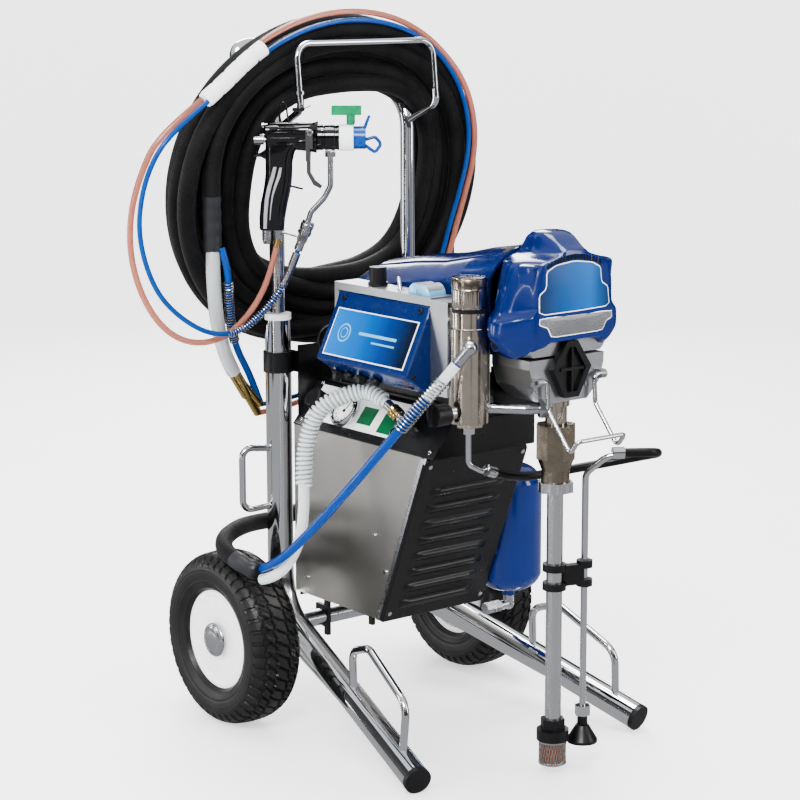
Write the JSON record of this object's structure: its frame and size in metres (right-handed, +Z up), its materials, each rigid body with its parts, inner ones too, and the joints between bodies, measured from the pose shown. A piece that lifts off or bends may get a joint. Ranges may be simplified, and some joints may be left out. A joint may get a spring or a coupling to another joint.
{
  "type": "airless paint sprayer",
  "caption": "Air-assisted airless paint sprayer on a two-wheeled cart, with hose coil and gun on a sliding handle, motor-driven pump with suction tube, air tank.",
  "frame": {"origin": "centre of the footprint on the floor, free hoses left out", "axes": "+Z up, -Y towards the pump and the toes of the legs, +X to the right side when facing +Y, along the wheel axle"},
  "size_m": [0.6285, 0.692, 1.0267],
  "materials": {
    "chrome": "bright chrome plate",
    "zinc_steel": "zinc plated",
    "stainless": "brushed sheet",
    "cast_alu": "as cast, bead blasted",
    "alu_tube": "satin anodised",
    "nickel": "nickel plated",
    "blue_cover": "gloss blue",
    "blue_metal": "gloss blue paint",
    "black_sheet": "satin black powder coat",
    "black_plastic": "satin",
    "white_plastic": "satin",
    "tyre": "moulded rubber",
    "rubber": "smooth",
    "sleeve": "woven sleeve",
    "hose_blue": "smooth",
    "hose_clear": "clear tube",
    "hose_pink": "clear pink tube",
    "brass": "machined",
    "gun_black": "black anodised",
    "guard_blue": "satin",
    "tip_green": "satin",
    "steel": "machined"
  },
  "bodies": {
    "cart": {"side_rails": "chrome", "rod_loops": "chrome", "leg_caps": "black_plastic", "collars": "white_plastic", "axle": "zinc_steel", "housing_shell": "stainless", "housing_front": "black_sheet", "control_panel": "black_sheet", "pressure_gauge": "chrome", "compressor": "cast_alu", "air_tank": "blue_metal", "machine_bracket": "black_sheet", "motor_can": "steel", "motor_shroud": "blue_cover", "front_cover": "blue_cover", "rod_guard": "black_plastic", "drive_housing": "cast_alu", "electronics_box": "cast_alu", "control_box": "blue_metal", "filter_manifold": "nickel", "pipe_fittings": "zinc_steel", "pump_barrel": "nickel", "pump_intake": "nickel", "suction_tube": "alu_tube", "strainer_fitting": "black_plastic", "strainer_basket": "stainless", "drain_tubes": "chrome", "drain_hose": "rubber", "drain_plastics": "black_plastic", "screws": "zinc_steel", "supply_hose_fluid": "hose_blue", "supply_hose_air": "hose_clear"},
    "wheel_left": {"tyre_left": "tyre", "hub_left": "white_plastic"},
    "wheel_right": {"tyre_right": "tyre", "hub_right": "white_plastic"},
    "handle": {"handle_tube": "chrome", "hook_rod": "chrome", "hose_coil": "sleeve", "gun_body": "gun_black", "air_cap_ring": "white_plastic", "tip_guard": "guard_blue", "gun_fluid_tube": "steel", "whip_fluid": "hose_blue", "whip_air": "hose_pink", "coil_end_tube": "hose_clear", "coil_end_fittings": "brass", "main_sleeve": "sleeve"},
    "trigger": {"gun_trigger": "chrome"},
    "spray_tip": {"tip_handle": "tip_green"},
    "fan_adjuster": {"fan_knob": "steel"},
    "gun_air_valve": {"air_knob": "steel"},
    "pressure_dial": {"pressure_knob": "black_plastic"},
    "power_switch": {"toggle_switch": "zinc_steel"},
    "prime_valve": {"prime_knob": "black_plastic"},
    "air_regulator": {"regulator_knob": "black_plastic"},
    "hook": {"pail_hook": "zinc_steel"},
    "rotor": {"motor_rotor": "steel"},
    "crankshaft": {"crank": "steel"},
    "piston": {"pump_rod": "steel"}
  },
  "joints": [
    {"name": "handle_slide", "type": "slide", "parent": "cart", "child": "handle", "axis": [0, 0, 1], "range_m": [-0.14, 0], "deforming": ["main_sleeve"]},
    {"name": "wheel_left_spin", "type": "hinge", "parent": "cart", "child": "wheel_left", "pos_m": [-0.221, 0.19665, 0.127], "axis": [1, 0, 0], "continuous": true},
    {"name": "wheel_right_spin", "type": "hinge", "parent": "cart", "child": "wheel_right", "pos_m": [0.221, 0.19665, 0.127], "axis": [1, 0, 0], "continuous": true},
    {"name": "trigger_pull", "type": "hinge", "parent": "handle", "child": "trigger", "pos_m": [-0.11779, 0.1363, 0.857], "axis": [0.6216, 0.7833, 0], "range_deg": [0, 14], "stiffness_Nm_per_rad": 6, "springref_deg": -8.59},
    {"name": "tip_reverse", "type": "hinge", "parent": "handle", "child": "spray_tip", "pos_m": [-0.07314, 0.10087, 0.86], "axis": [0, 0, 1], "range_deg": [0, 180]},
    {"name": "fan_adjust", "type": "hinge", "parent": "handle", "child": "fan_adjuster", "pos_m": [-0.17419, 0.18106, 0.846], "axis": [0.7833, -0.6216, 0], "range_deg": [-720, 720]},
    {"name": "gun_air_adjust", "type": "hinge", "parent": "handle", "child": "gun_air_valve", "pos_m": [-0.16714, 0.17546, 0.712], "axis": [0, 0, 1], "range_deg": [-720, 720]},
    {"name": "pressure_adjust", "type": "hinge", "parent": "cart", "child": "pressure_dial", "pos_m": [-0.099, 0.00665, 0.665], "axis": [0, 0, 1], "range_deg": [-270, 0]},
    {"name": "power_toggle", "type": "hinge", "parent": "cart", "child": "power_switch", "pos_m": [-0.099, -0.04335, 0.648], "axis": [1, 0, 0], "range_deg": [0, 40]},
    {"name": "prime_turn", "type": "hinge", "parent": "cart", "child": "prime_valve", "pos_m": [-0.155, -0.19535, 0.507], "axis": [1, 0, 0], "range_deg": [0, 90]},
    {"name": "air_regulator_turn", "type": "hinge", "parent": "cart", "child": "air_regulator", "pos_m": [-0.10457, 0.13865, 0.46849], "axis": [-0.7745, 0, 0.6325], "range_deg": [-720, 720]},
    {"name": "pail_hook_swing", "type": "hinge", "parent": "cart", "child": "hook", "pos_m": [-0.004, -0.28435, 0.552], "axis": [1, 0, 0], "range_deg": [-60, 0]},
    {"name": "rotor_spin", "type": "hinge", "parent": "cart", "child": "rotor", "pos_m": [-0.004, -0.10335, 0.6122], "axis": [0, 1, 0], "continuous": true},
    {"name": "crank_spin", "type": "hinge", "parent": "cart", "child": "crankshaft", "pos_m": [-0.004, -0.22335, 0.57], "axis": [0, 1, 0], "continuous": true},
    {"name": "pump_stroke", "type": "slide", "parent": "cart", "child": "piston", "axis": [0, 0, 1], "range_m": [-0.01, 0.01]}
  ],
  "couplings": [
    {"joint": "crank_spin", "follows": "rotor_spin", "ratio": -0.1676}
  ]
}
